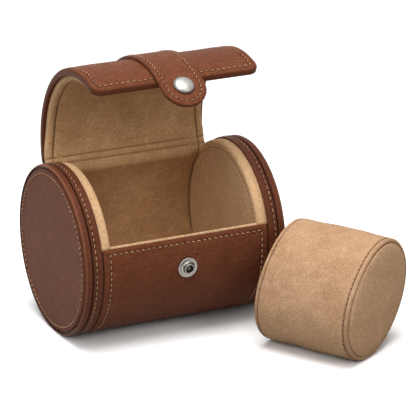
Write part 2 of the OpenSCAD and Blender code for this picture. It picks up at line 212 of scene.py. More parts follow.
class Nodes:
    """A node tree whose nodes all come from one method."""

    def __init__(self, tree):
        self.tree = tree

    def node(self, kind, settings, *values, out=0, **named):
        """Adds a node: its settings first, then its sockets in order or by name."""
        made = self.tree.nodes.new(kind)
        for key, value in settings.items():
            setattr(made, key, value)
        for key, value in [*enumerate(values), *named.items()]:
            self.feed(made.inputs[key], value)
        return Socket(self, made.outputs[out]) if made.outputs else None

    def feed(self, target, value):
        if isinstance(value, Socket):
            self.tree.links.new(value.output, target)
        else:
            target.default_value = value

    def seen(self):
        """1 for what the camera sees, also in a mirror or through glass."""
        camera = self.node("ShaderNodeLightPath", {}, out="Is Camera Ray")
        glossy = self.node("ShaderNodeLightPath", {}, out="Is Glossy Ray")
        through = self.node("ShaderNodeLightPath", {}, out="Is Transmission Ray")
        return camera.either(glossy).either(through)


class Finish(Nodes):
    """A material. Settings of its shader that don't vary are given by name."""

    def __init__(self, name, **constants):
        self.material = bpy.data.materials.new(name)
        self.material.use_nodes = True
        super().__init__(self.material.node_tree)
        self.shader = self.tree.nodes["Principled BSDF"]
        for socket, value in constants.items():
            self.set(socket.replace("_", " "), value)
        self.place = self.node("ShaderNodeTexCoord", {}, out="Object")

    def set(self, socket, value):
        self.feed(self.shader.inputs[socket], value)

    def noise(self, scale, detail=3.0, rough=0.55, place=None):
        """Noise with scale in spots for each metre."""
        return self.node("ShaderNodeTexNoise", {}, Vector=place or self.place,
                         Scale=scale, Detail=detail, Roughness=rough)

    def cells(self, scale):
        return self.node("ShaderNodeTexVoronoi", {}, Vector=self.place, Scale=scale)

    def mask(self, name):
        """A value that the piece's mesh carries at its points."""
        return self.node("ShaderNodeAttribute", {"attribute_name": name}, out="Fac")

    def stretched(self, x, y, z):
        return self.node("ShaderNodeVectorMath", {"operation": "MULTIPLY"}, self.place, (x, y, z))

    def mix(self, amount, first, second):
        """Mixes two colours by a value."""
        return self.node("ShaderNodeMix", {"data_type": "RGBA"}, out="Result",
                         Factor=amount, A=first, B=second)

    def bump(self, height, strength, distance):
        normal = self.node("ShaderNodeBump", {}, Height=height, Strength=strength,
                           Distance=distance * MM)
        self.set("Normal", normal)


def shade(colour, share):
    """The colour with its light cut to that share."""
    return tuple(c * share for c in colour[:3]) + (1.0,)


def leather_finish(name, dark, mid, light, grain=1.0, shine=0.40, gloss=0.05):
    """Full-grain leather: fine grain and pull lines, faint mottling and painted edges, with painted
    shade and painted highlights where the mesh's masks mark them.
    """
    finish = Finish(name, Specular_IOR_Level=gloss)
    patches = finish.noise(34.0, 4.0, 0.6)
    flecks = finish.noise(620.0, 3.0, 0.65)
    pores = finish.cells(1150.0)
    pulls = finish.noise(620.0, 4.0, 0.65, place=finish.stretched(0.42, 1.0, 1.0))
    wander = finish.noise(230.0, 5.0, 0.62, place=finish.stretched(0.55, 1.0, 1.0)) - 0.5
    crease = 1.0 - wander.math("ABSOLUTE", wander).ramp(0.0, 0.030)
    seam = finish.mask("seam")
    edge = finish.mask("edge")
    worn = finish.mask("worn")
    colour = finish.mix(patches.ramp(0.34, 0.68) * 0.4 + 0.4, dark, mid)
    colour = finish.mix(flecks.ramp(0.48, 0.76) * 0.30, colour, light)
    colour = finish.mix((1.0 - pulls.ramp(0.34, 0.52)) * 0.17, colour, shade(dark, 0.5))
    colour = finish.mix((1.0 - pores.ramp(0.05, 0.45)) * 0.24, colour, shade(dark, 0.7))
    colour = finish.mix(crease * patches.ramp(0.40, 0.62) * 0.30, colour, shade(dark, 0.6))
    # Darker where the seam mask marks stitch grooves and recesses: painted shade.
    colour = finish.mix(seam * 0.62, colour, shade(dark, 0.30))
    colour = finish.mix(edge * 0.38, colour, shade(dark, 0.62))
    # Lighter where the mesh marks a crest: painted highlight.
    colour = finish.mix(worn * 0.65, colour, shade(light, 1.35))
    finish.set("Base Color", colour)
    finish.set("Roughness", (shine + patches * 0.07 + flecks * 0.09 - edge * 0.05).clamped())
    height = pores * (0.5 * grain) + pulls * (1.1 * grain) + flecks * 0.4 - crease * (0.35 * grain)
    finish.bump(height * (1.0 - edge * 0.75), 0.85, 0.40)
    return finish.material


def suede_finish(name, dark, mid, light, painted_light_tone, nap=1.0):
    """Microsuede, finely napped and matt, paler where the mesh marks painted light, and darker in
    its seams and folds: painted shade.
    """
    finish = Finish(name, Roughness=0.96, Specular_IOR_Level=0.08, Sheen_Weight=0.06,
                    Sheen_Roughness=0.6)
    finish.set("Sheen Tint", (0.95, 0.75, 0.55, 1.0))
    drift = finish.noise(46.0, 4.0, 0.62)
    strokes = finish.noise(130.0, 4.0, 0.68)
    fibres = finish.noise(1150.0, 3.0, 0.75)
    seam = finish.mask("seam")
    colour = finish.mix(drift.ramp(0.36, 0.66) * 0.9 + 0.1, dark, mid)
    colour = finish.mix(strokes.ramp(0.46, 0.70) * 0.42, colour, light)
    # Paler where the mesh marks lit faces and edges: painted light.
    colour = finish.mix(finish.mask("nap").either(finish.mask("edge")) * 0.5, colour, painted_light_tone)
    colour = finish.mix((1.0 - fibres.ramp(0.38, 0.54)) * 0.55, colour, shade(dark, 0.74))
    colour = finish.mix(fibres.ramp(0.54, 0.68) * 0.50, colour, light)
    # Darker in seams and folds: painted shade.
    colour = finish.mix(seam * 0.62, colour, shade(dark, 0.34))
    finish.set("Base Color", colour)
    finish.bump(fibres * 0.9 + strokes * 0.3, 0.55 * nap, 0.26)
    return finish.material


def thread_finish(name, colour, shadow):
    """Waxed thread, with its plies twisted round it."""
    finish = Finish(name, Specular_IOR_Level=0.2)
    twist = finish.noise(2600.0, 2.0, 0.5)
    fade = finish.noise(120.0, 2.0, 0.5)
    # The colour runs from the shadow colour where the plies dip to the lit colour on them, with a
    # slow random fade: painted shade between the plies, and random tone.
    worn = (twist * 0.6 + fade * 0.4).ramp(0.38, 0.60)
    finish.set("Base Color", finish.mix(worn, shadow, colour))
    finish.set("Roughness", (0.62 + twist * 0.2).clamped())
    finish.bump(twist, 0.5, 0.12)
    return finish.material


def nickel_finish(name, colour, rough):
    """Plated metal with faint tumbling marks, rougher and darker where the mesh marks recesses and
    rims: painted shade.
    """
    finish = Finish(name, Metallic=1.0)
    marks = finish.noise(900.0, 4.0, 0.65)
    haze = finish.noise(160.0, 3.0, 0.5)
    deep = finish.mask("seam")
    tone = finish.mix(haze.ramp(0.35, 0.7), shade(colour, 0.84), colour)
    # Darker where the mesh marks recesses and rims: painted shade.
    finish.set("Base Color", finish.mix(deep * 0.97, tone, shade(colour, 0.05)))
    finish.set("Roughness", (rough + marks * 0.07 + haze * 0.05 + deep * 0.3).clamped())
    finish.bump(marks, 0.08, 0.05)
    return finish.material


def card_finish(name, dark, light):
    """Pressed grey board with fibres in it."""
    finish = Finish(name, Roughness=0.9, Specular_IOR_Level=0.2)
    fibres = finish.noise(700.0, 5.0, 0.7, place=finish.stretched(0.3, 1.0, 1.0))
    specks = finish.cells(900.0)
    colour = finish.mix(fibres.ramp(0.35, 0.65), dark, light)
    finish.set("Base Color", finish.mix((1.0 - specks.ramp(0.1, 0.3)) * 0.25, colour, dark))
    finish.bump(fibres, 0.3, 0.1)
    return finish.material


def foam_finish(name, dark, light):
    """Open-celled foam."""
    finish = Finish(name, Roughness=0.95, Specular_IOR_Level=0.15)
    cells = finish.cells(1400.0)
    finish.set("Base Color", finish.mix(cells.ramp(0.1, 0.6), dark, light))
    finish.bump(cells, 0.5, 0.2)
    return finish.material


COVER = leather_finish("chestnut_leather", (0.106, 0.030, 0.012, 1), (0.188, 0.060, 0.028, 1),
                       (0.280, 0.110, 0.058, 1))
RIM = leather_finish("rim_leather", (0.080, 0.023, 0.010, 1), (0.142, 0.044, 0.021, 1),
                     (0.220, 0.082, 0.043, 1), grain=0.6, shine=0.32, gloss=0.06)
# The lining and the cushion are one suede: the lining's colours are lighter, standing in for light
# the compartment lacks, and the cushion's darker for its lit top: painted light and painted shade.
SUEDE = suede_finish("lining_suede", (0.490, 0.276, 0.126, 1), (0.614, 0.361, 0.175, 1),
                     (0.735, 0.482, 0.268, 1), (0.820, 0.575, 0.350, 1))
CUSHION_SUEDE = suede_finish("cushion_suede", (0.402, 0.232, 0.126, 1), (0.495, 0.300, 0.172, 1),
                             (0.620, 0.410, 0.256, 1), (0.775, 0.475, 0.266, 1), nap=1.2)
THREAD = thread_finish("tan_thread", (0.500, 0.285, 0.160, 1), (0.225, 0.112, 0.055, 1))
LINING_THREAD = thread_finish("brown_thread", (0.150, 0.080, 0.038, 1), (0.080, 0.040, 0.018, 1))
SUEDE_THREAD = thread_finish("suede_thread", (0.300, 0.180, 0.095, 1), (0.200, 0.110, 0.055, 1))
NICKEL = nickel_finish("satin_nickel", (0.42, 0.395, 0.365, 1), 0.28)
# A darker copy of the nickel for the stud on the shaded panel: painted shade.
SHADED_NICKEL = nickel_finish("dull_nickel", (0.27, 0.25, 0.225, 1), 0.24)
RIVET_NICKEL = nickel_finish("rivet_nickel", (0.085, 0.078, 0.070, 1), 0.34)
CARD = card_finish("grey_board", (0.26, 0.24, 0.21, 1), (0.40, 0.37, 0.33, 1))
FOAM = foam_finish("cream_foam", (0.62, 0.57, 0.46, 1), (0.80, 0.76, 0.66, 1))


# Shapes

def cos_sin(degrees):
    a = math.radians(degrees)
    return math.cos(a), math.sin(a)


def around(r, a):
    """Points round the barrel's axis: angle 0 at the front, 90 at the top."""
    a = np.radians(a)
    return np.stack([-r * np.cos(a), AXIS_H + r * np.sin(a)], -1)


HINGE = around(HINGE_R, HINGE_A)


def opened(points):
    """Turns (y, z) points of the closed lid about the hinge line, to the open lid."""
    c, s = cos_sin(LID_OPEN_A)
    d = np.asarray(points) - HINGE
    return HINGE + np.stack([c * d[..., 0] + s * d[..., 1], -s * d[..., 0] + c * d[..., 1]], -1)


def at_x(x, flat):
    """Puts (y, z) points at x."""
    return np.column_stack([np.full(len(flat), x), flat])


def lengths_along(line):
    """Each point's length along the line from its first."""
    return np.concatenate([[0], np.cumsum(np.linalg.norm(np.diff(line, axis=0), axis=1))])


def read_at(s, at, values):
    """Reads rows of values, given at the lengths `at`, at lengths s."""
    return np.stack([np.interp(s, at, column) for column in values.T], -1)


def unit(vectors):
    return vectors / np.linalg.norm(vectors, axis=-1)[..., None]


def smooth(x):
    x = np.clip(x, 0.0, 1.0)
    return x * x * (3 - 2 * x)


def piece(name, points, faces, material, masks=None, weld=0.002):
    """A mesh from points in millimetres, welded and with its faces turned outwards."""
    mesh = bpy.data.meshes.new(name)
    mesh.from_pydata([tuple(p) for p in np.asarray(points, float) * MM], [], faces)
    for key, values in (masks or {}).items():
        layer = mesh.attributes.new(key, "FLOAT", "POINT")
        layer.data.foreach_set("value", np.asarray(values, np.float32))
    made = bmesh.new()
    made.from_mesh(mesh)
    if weld:
        bmesh.ops.remove_doubles(made, verts=made.verts, dist=weld * MM)
        bmesh.ops.dissolve_degenerate(made, edges=made.edges, dist=weld * MM * 0.5)
    bmesh.ops.recalc_face_normals(made, faces=made.faces)
    made.to_mesh(mesh)
    made.free()
    mesh.polygons.foreach_set("use_smooth", [True] * len(mesh.polygons))
    mesh.materials.append(material)
    obj = add_object(name, mesh)
    return obj


def grid_faces(rows, columns, wrap_rows=False, wrap_columns=True):
    """Quads between rows of points, each row joined end to end if wrap_columns."""
    faces = []
    for i in range(rows if wrap_rows else rows - 1):
        for j in range(columns if wrap_columns else columns - 1):
            a, b = i * columns + j, i * columns + (j + 1) % columns
            c, d = ((i + 1) % rows) * columns + j, ((i + 1) % rows) * columns + (j + 1) % columns
            faces.append((a, b, d, c))
    return faces


def numbered_from(base, faces):
    return [tuple(base + i for i in face) for face in faces]


class Outline:
    """A rectangle in (x, s) with rounded corners: rings at a growing inset and, where these
    stop before the middle, a grid inside the last. Marks are lengths with close rows."""

    def __init__(self, half_x, s_from, s_to, r_from, r_to, step, deep, marks=(), end_pull=1.0):
        self.half_x, self.s_from, self.s_to = half_x, s_from, s_to
        self.r_from, self.r_to, self.deep, self.end_pull = r_from, r_to, deep, end_pull
        self.corner = 7
        low, high = s_from + deep, s_to - deep * end_pull
        if high <= low:
            low, high = s_from, s_to
        lengths = set(np.linspace(low, high, max(6, int((high - low) / step)))[1:-1])
        near = (-1.4, -1.0, -0.7, -0.45, -0.2, 0.0, 0.2, 0.45, 0.7, 1.0, 1.4)
        for at in marks:
            lengths |= {at + k for k in near}
        self.along = np.array(sorted((at - low) / (high - low) for at in lengths))
        count = max(4, int(2 * (half_x - deep) / (step * 1.6)))
        self.across = np.linspace(0, 1, count + 2)[1:-1]

    def box(self, inset):
        hx = max(self.half_x - inset, 0.0)
        middle = (self.s_from + self.s_to) / 2
        return hx, min(self.s_from + inset, middle), max(self.s_to - inset * self.end_pull, middle)

    def ring(self, inset):
        """Points of one ring, turned from x+ over the far end to x- and back."""
        hx, lo, hi = self.box(inset)
        cap = min(hx, (hi - lo) / 2)
        least = 0.25 * max(0.0, 1 - inset / self.deep)
        a = min(max(self.r_from - inset, least), cap)
        b = min(max(self.r_to - inset, least), cap)
        turns = np.linspace(0, math.pi / 2, self.corner)

        def bend(cx, cs, r, start):
            return np.stack([cx + r * np.cos(turns + start), cs + r * np.sin(turns + start)], 1)

        def side(first, last, stops):
            return first + (last - first) * stops[:, None]

        corners = [bend(hx - a, lo + a, a, -math.pi / 2), bend(hx - b, hi - b, b, 0),
                   bend(-hx + b, hi - b, b, math.pi / 2), bend(-hx + a, lo + a, a, math.pi)]
        stops = [self.along, self.across, 1 - self.along[::-1], self.across]
        parts = []
        for k in range(4):
            parts += [corners[k], side(corners[k][-1], corners[(k + 1) % 4][0], stops[k])]
        return np.concatenate(parts)

    def grid(self):
        """The points inside the last ring, and how many there are in a row."""
        hx, lo, hi = self.box(self.deep)
        x = -hx + 2 * hx * np.concatenate([[0], self.across, [1]])
        s = lo + (hi - lo) * np.concatenate([[0], self.along, [1]])
        return np.stack([np.tile(x, len(s)), np.repeat(s, len(x))], 1), len(x)


class Path:
    """A curve in (y, z) with its outward normals, read by length."""

    def __init__(self, points):
        self.points = np.asarray(points, float)
        self.at = lengths_along(self.points)
        self.length = self.at[-1]
        t = unit(np.gradient(self.points, self.at, axis=0))
        self.normals = np.stack([-t[:, 1], t[:, 0]], 1)
        self.width = None

    def place(self, x, s, h):
        """Points at x across, s along and h out from the curve."""
        s = np.asarray(s)
        n = unit(read_at(s, self.at, self.normals))
        p = read_at(s, self.at, self.points) + n * np.asarray(h)[..., None]
        across = x if self.width is None else x * self.width(s)
        return np.stack([across, p[..., 0], p[..., 1]], -1)


def lumps(points, size, height, seed):
    """Soft unevenness at each point: noise of that size and height in millimetres."""
    shift = Vector((seed * 7.3, seed * 3.1, seed * 5.7))
    return np.array([noise.noise(Vector(p) / size + shift) for p in points]) * height


def dent(d, at, width):
    return np.exp(-((d - at) / width) ** 2)


def ribbon(name, path, outline, profile, material, seams=(), folds=(), shape=None,
           depth=None, rough=0.0, seed=1):
    """A thick sheet along a path. Its profile is rows of (inset, height, edge), from under
    the sheet round the edge to its top. Seams are (inset, depth, width) and run round it,
    folds are (length, depth, width) and run across it."""
    points, faces, masks = [], [], {"seam": [], "edge": []}

    def lay(flat, inset, height, edge):
        """Adds points of the sheet, and returns the number of the first."""
        x, s = flat[:, 0], flat[:, 1]
        h = np.full(len(x), float(height))
        marks = np.zeros(len(x))
        if height > -0.45 and edge < 0.9:
            # Seams and folds darken the colour through the seam mask: painted shade in their
            # grooves.
            for at, deep, width in seams:
                h = h - deep * dent(inset, at, width)
                marks = marks + dent(inset, at, width)
            for at, deep, width in folds:
                h = h - deep * dent(s, at, width)
                marks = marks + 0.9 * dent(s, at, width * 0.8)
            if shape is not None:
                h = h + shape(x, s, inset)
            if rough:
                p = path.place(x, s, h)
                bumps = lumps(p, 9.0, rough, seed) + lumps(p, 24.0, rough * 1.6, seed + 3)
                h = h + bumps * np.minimum(1.0, inset / 2.0)
        elif depth is not None:
            h = depth(s, inset, height)
        base = sum(len(p) for p in points)
        points.append(path.place(x, s, h))
        masks["seam"].append(np.clip(marks, 0.0, 1.0))
        masks["edge"].append(np.full(len(x), float(edge)))
        return base

    rings = [lay(outline.ring(inset), inset, height, edge) for inset, height, edge in profile]
    count = len(outline.ring(0.0))
    faces += grid_faces(len(rings), count)
    if outline.deep < outline.half_x:
        flat, columns = outline.grid()
        inset = np.full(len(flat), outline.deep)
        for _, height, edge in (profile[0], profile[-1]):
            base = lay(flat, inset, height, edge)
            inner = grid_faces(len(flat) // columns, columns, wrap_columns=False)
            faces += numbered_from(base, inner)
    points = np.concatenate(points)
    points[:, 2] = np.maximum(points[:, 2], 0.0)
    return piece(name, points, faces, material,
                 {k: np.concatenate(v) for k, v in masks.items()})


def insets(seams, reach, step=3.2):
    """Insets from the edge's round to the middle, close together at each seam."""
    marks = {1.3, 1.6, 1.9, 2.3, 2.6, 3.0}
    for at, _, width in seams:
        marks |= {at + width * k for k in (-2, -1.2, -0.6, 0, 0.6, 1.2, 2)}
    low = max(marks)
    count = max(2, int((reach - low) / step))
    marks |= set(np.linspace(low + 1.0, reach, count))
    return sorted(m for m in marks if m <= reach + 1e-6)


def edge_profile(seams, reach, thick, round_r, under=1.25):
    """Profile of a sheet with a rounded upper edge and a square lower one."""
    rows = [(reach, -thick, 1.0)]
    rows += [(d, -thick, 1.0) for d in np.linspace(reach, under, max(2, int(reach / 4)))[1:]]
    rows += [(under - 0.06, -thick, 1.0), (0.25, -thick, 1.0), (0.0, -thick + 0.25, 1.0)]
    rows += [(0.0, -(thick + round_r) / 2, 1.0)]
    for k in range(5):
        a = k * math.pi / 8
        rows.append((round_r * (1 - math.cos(a)), -round_r * (1 - math.sin(a)), 1.0 - k / 4 * 0.75))
    rows += [(d, 0.0, 0.18 if d < 1.5 else 0.0) for d in insets(seams, reach)]
    return rows


def stitches(name, line, out, stitch, material, closed=False, slant=0.0):
    """Threads along a line of points, each diving into the skin at both ends."""
    pitch, long, thick = stitch
    line, out = np.asarray(line, float), np.asarray(out, float)
    if closed:
        line, out = np.vstack([line, line[:1]]), np.vstack([out, out[:1]])
    at = lengths_along(line)
    count = max(1, int(round(at[-1] / pitch)))
    pitch = at[-1] / count
    rings, ring_points = 7, 6
    turns = np.linspace(0, 2 * math.pi, ring_points + 1)[:-1]
    steps = np.linspace(0, 1, rings)
    last = (rings - 1) * ring_points
    tube = grid_faces(rings, ring_points)
    tube += [range(ring_points), range(last + ring_points - 1, last - 1, -1)]
    points, faces = [], []

    for i in range(count):
        s = (i + 0.5) * pitch + (steps - 0.5) * long
        s = np.mod(s, at[-1]) if closed else np.clip(s, 0, at[-1])
        core, up = read_at(s, at, line), unit(read_at(s, at, out))
        ahead = np.gradient(core, axis=0)
        ahead /= np.linalg.norm(ahead, axis=1)[:, None] + 1e-9
        aside = np.cross(ahead, up)
        arch = np.sin(steps * math.pi) ** 0.6
        core = core + up * (thick * (arch - 0.35) * 0.62)[:, None]
        core = core + aside * ((steps - 0.5) * slant * long)[:, None]
        fat = thick / 2 * (0.55 + 0.45 * arch)
        faces += numbered_from(len(points), tube)
        for k in range(rings):
            for turn in turns:
                spoke = math.cos(turn) * aside[k] + math.sin(turn) * up[k]
                points.append(core[k] + fat[k] * spoke)
    points = np.array(points)
    points[:, 2] = np.maximum(points[:, 2], 0.0)
    return piece(name, points, faces, material, weld=0)


def lathe(name, rows, count, material, place, masks, closed=False):
    """Turns rows of (radius, height) round an axis and places them. A closed section ends
    at its first row."""
    if closed:
        rows = rows + rows[:1]
        masks = {k: v + v[:1] for k, v in masks.items()}
    turns = np.linspace(0, 2 * math.pi, count + 1)[:-1]
    points = [(r * math.cos(t), r * math.sin(t), h) for r, h in rows for t in turns]
    points = place(np.array(points))
    points[:, 2] = np.maximum(points[:, 2], 0.0)
    spread = {k: np.repeat(v, count) for k, v in masks.items()}
    return piece(name, points, grid_faces(len(rows), count), material, spread)


def arc(cx, cy, r, start, stop, count):
    return [(cx + r * c, cy + r * s) for c, s in map(cos_sin, np.linspace(start, stop, count))]


# The cover and the lining, each one sheet from the lid's front over the hinge to the panel

def bend_between(start, start_way, finish, finish_way, pull, count=14):
    """A smooth bend that leaves and arrives along the two directions."""
    t = np.linspace(0, 1, count)[1:-1, None]
    p1, p2 = start + pull * start_way, finish - pull * finish_way
    return ((1 - t) ** 3 * start + 3 * t * (1 - t) ** 2 * p1 + 3 * t * t * (1 - t) * p2
            + t ** 3 * finish)


def case_path(lid_r, barrel_r, pull, lip_a=0.0):
    """From the lid's front edge over the open lid, round the hinge and the barrel."""
    lid = opened(around(lid_r, np.arange(LID_EDGE_A, LID_BACK_A + 0.1, 1.5)))
    last = 360 + PANEL_EDGE_A + lip_a
    barrel = around(barrel_r, np.linspace(BACK_EDGE_A, last, 161))
    way_in = lid[-1] - lid[-2]
    way_out = barrel[1] - barrel[0]
    curve = bend_between(lid[-1], way_in / np.linalg.norm(way_in), barrel[0],
                         way_out / np.linalg.norm(way_out), pull)
    path = Path(np.vstack([lid, curve, barrel]))
    path.lid_end = math.radians(LID_BACK_A - LID_EDGE_A) * lid_r
    path.barrel_start = path.length - math.radians(last - BACK_EDGE_A) * barrel_r
    return path


def cover():
    """The leather cover, with its rim turned over the lid's board and the panel's edge."""
    path = case_path(LID_R, BARREL_R, 2.0)
    deep = 7.5
    under = 3.2
    outline = Outline(SHELL_X, 0.0, path.length, 4.5, 0.8, 1.7, deep, end_pull=0.78)
    seams = [(COVER_SEAM_IN, 0.42, 0.46)]

    def depth(s, inset, height):
        on_lid = 1 - smooth((s - path.lid_end) / 3.0)
        at_panel = smooth((s - path.length + 1.6) / 0.6)
        rim = COVER_T + (LID_RIM_T + 0.06 - COVER_T) * on_lid + 1.0 * at_panel
        flat = COVER_T + 0.8 * on_lid
        full = np.where(np.asarray(inset) < under - 0.03, rim, flat)
        return -full * min(1.0, -height / LID_RIM_T)

    def shape(x, s, inset):
        on_lid = 1 - smooth((s - path.lid_end + 6) / 6.0)
        return on_lid * (0.24 * smooth((inset - 3.8) / 3.0) + 0.12 * dent(inset, 2.0, 0.8))

    rows = edge_profile(seams, deep, LID_RIM_T, 1.0, under)
    made = ribbon("cover_leather", path, outline, rows, COVER, seams,
                  shape=shape, depth=depth, rough=0.10)
    thread = seam_stitches("cover_stitches", path, outline.ring(COVER_SEAM_IN), -0.14,
                           COVER_STITCH, THREAD)
    bend_with_hinge(made, path)
    bend_with_hinge(thread, path)
    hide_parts("barrel_leather", "hinge_leather", "lid_leather")


def bend_with_hinge(part, path):
    """Bakes a sheet's placement into its points."""
    start, end = path.place(0, path.barrel_start, 0), path.place(0, path.lid_end, 0)
    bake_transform(part)


def seam_stitches(name, path, row, height, stitch, material, closed=True):
    """Stitches along a row of (x, s) points on a sheet."""
    line = path.place(row[:, 0], row[:, 1], np.full(len(row), height))
    out = path.place(row[:, 0], row[:, 1], np.full(len(row), height + 1.0)) - line
    return stitches(name, line, out, stitch, material, closed=closed, slant=0.12)


def lining():
    """The suede lining: a rolled rim in the lid, and the fold at the hinge."""
    path = case_path(LID_IN_R, BORE_R, 2.4, lip_a=1.5)
    path.normals = -path.normals
    deep = 9.0
    seams = [(LINING_SEAM_IN, 0.62, 0.42)]
    folds = [(path.lid_end - 1.4, 0.50, 0.42), (path.lid_end + 1.8, 0.50, 0.42)]
    outline = Outline(SHELL_X - 0.45, 2.4, path.length, 3.6, 0.6, 1.7, deep,
                      marks=[at for at, _, _ in folds], end_pull=0.8)

    path.width = lambda s: 1 - 0.030 * (1 - smooth((s - path.lid_end + 16) / 14.0))

    def depth(s, inset, height):
        on_lid = 1 - smooth((s - path.lid_end) / 2.0)
        thick = LINING_T + (LID_LINING_T - LINING_T) * on_lid
        return -thick * min(1.0, -height / LID_LINING_T)

    def shape(x, s, inset):
        on_lid = 1 - smooth((s - path.lid_end + 2) / 3.0)
        roll = 0.30 * dent(inset, 2.0, 1.1) * smooth(inset / 1.2)
        field = 0.15 * smooth((inset - LINING_SEAM_IN - 0.6) / 4.0)
        ridge = 0.30 * dent(s, path.lid_end + 0.2, 1.1) * smooth(inset / 2.0)
        return on_lid * (roll + field) + ridge

    rows = edge_profile(seams, deep, LID_LINING_T, 1.1)
    made = ribbon("lining_suede", path, outline, rows, SUEDE, seams, folds,
                  shape=shape, depth=depth, rough=0.12, seed=5)
    row = outline.ring(LINING_SEAM_IN)
    row = row[row[:, 1] < path.lid_end - 3]
    split = int(np.argmax(np.abs(np.diff(row[:, 0])) > 30)) + 1
    row = np.vstack([row[split:], row[:split]])
    thread = seam_stitches("lid_lining_stitches", path, row, -0.46, LINING_STITCH,
                           LINING_THREAD, closed=False)
    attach(thread, "lid")
    bend_with_hinge(made, path)
    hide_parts("barrel_lining", "hinge_lining", "lid_lining")


def strap():
    """The strap from the lid's back to its round tip."""
    length = math.radians(STRAP_BACK_A - LID_EDGE_A) * STRAP_R + TIP_LEN
    tip_a = STRAP_BACK_A - math.degrees(length / STRAP_R)
    path = Path(opened(around(STRAP_R, np.linspace(tip_a, STRAP_BACK_A, 120))))
    outline = Outline(STRAP_HALF_W, 0.0, path.length, STRAP_HALF_W - 0.05, 1.2, 1.4, STRAP_HALF_W)
    seams = [(STRAP_SEAM_IN, 0.30, 0.42)]
    rows = edge_profile(seams, STRAP_HALF_W, 1.85, 0.75, 1.2)
    made = ribbon("strap_leather", path, outline, rows, COVER, seams,
                  rough=0.05, seed=9)
    thread = seam_stitches("strap_stitches", path, outline.ring(STRAP_SEAM_IN), -0.08,
                           STRAP_STITCH, THREAD)
    start = path.place(0, TIP_LEN + 0.8, 0)
    end = path.place(0, TIP_LEN - 0.8, 0)
    for part in (made, thread):
        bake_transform(part)
    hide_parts("strap", "strap_lining", "strap_tip", "strap_tip_lining")


# Ends

def end_place(side):
    """Lathe heights run in from an end's outer face."""
    sign = SIDES[side]

    def place(p):
        return np.stack([sign * (HALF_LEN - p[:, 2]), p[:, 0], AXIS_H + p[:, 1]], 1)

    return place


def end_seam(side, name, r, x, stitch, in_face=False):
    """A circle of stitches in an end's face, or round its rim and clear of the table."""
    sign = SIDES[side]
    t = np.linspace(0, 2 * math.pi, SEAM_STEPS + 1)[:-1]
    line = at_x(sign * x, np.stack([r * np.cos(t), AXIS_H + r * np.sin(t)], 1))
    line[:, 2] = np.maximum(line[:, 2], 0.45)
    out = at_x(0.0, np.stack([np.cos(t), np.sin(t)], 1))
    if in_face:
        out = np.tile((sign * 1.0, 0.0, 0.0), (len(t), 1))
    return stitches(f"{side}_{name}_stitches", line, out, stitch, THREAD, closed=True, slant=0.1)


def end_disc(side):
    """The flat leather disc in the end's groove, with a sunk seam near its edge."""
    radii = [4, 8, 12, 16, 20, 24, 28, 31, 33, 34.5, 35.4]
    radii += [DISC_SEAM_R + k for k in (-0.9, -0.5, -0.25, 0, 0.25, 0.5, 0.9)]
    radii += [DISC_R - 1.0, DISC_R - 0.7]
    rows = [(0.0, 0.06)]
    for r in sorted(radii):
        sunk = 0.34 * dent(r, DISC_SEAM_R, 0.40)
        rows.append((r, 0.06 + sunk + 0.1 * (r / DISC_R) ** 4))
    rows += [(DISC_R - 0.7 + x, 0.86 - y) for x, y in arc(0, 0, 0.7, 80, 0, 6)]
    rows += [(DISC_R, 1.6), (DISC_R - 4, 1.6), (0.0, 1.6)]
    # The sunk seam is darkened: painted shade.
    seam = [0.55 * dent(r, DISC_SEAM_R, 0.42) if h < 0.6 else 0.0 for r, h in rows]
    edge = [0.0 if r < DISC_R - 0.8 else 0.8 for r, h in rows]
    made = lathe(f"{side}_end_disc_leather", rows, DISC_STEPS, COVER,
                 end_place(side), {"seam": seam, "edge": edge})
    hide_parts(f"{side}_end_disc")
    return made, end_seam(side, "disc", DISC_SEAM_R, HALF_LEN - 0.24, DISC_STITCH, in_face=True)


def end_roll(side):
    """The rounded piping round the disc, with a painted highlight along its crest and painted shade
    on its faces beside the disc and the band.
    """
    rows = [(RIM_IN_R, 3.8), (RIM_IN_R, 0.9)]
    rows += arc(RIM_IN_R + 0.7, 0.9, 0.7, 180, 270, 6)
    rows += [(BARREL_R - 1.5 + x, 1.7 - y) for x, y in arc(0, 0, 1.5, 80, 0, 9)]
    rows += [(BARREL_R, 2.6)]
    rows += [(BARREL_R - 0.8 + x, 3.1 + y) for x, y in arc(0, 0, 0.8, 0, 80, 6)]
    # Darker on the faces beside the disc and the band: painted shade.
    seam = [0.9 if h > 3.5 or r < RIM_IN_R + 0.1 else 0.0 for r, h in rows]
    # Lighter along the crest: painted highlight.
    worn = [dent(math.hypot(r - BARREL_R + 0.45, h - 0.65), 0.0, 0.5) for r, h in rows]
    made = lathe(f"{side}_end_roll", rows, RIM_STEPS, RIM, end_place(side),
                 {"seam": seam, "worn": worn}, closed=True)
    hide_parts(f"{side}_end_piping")
    return made


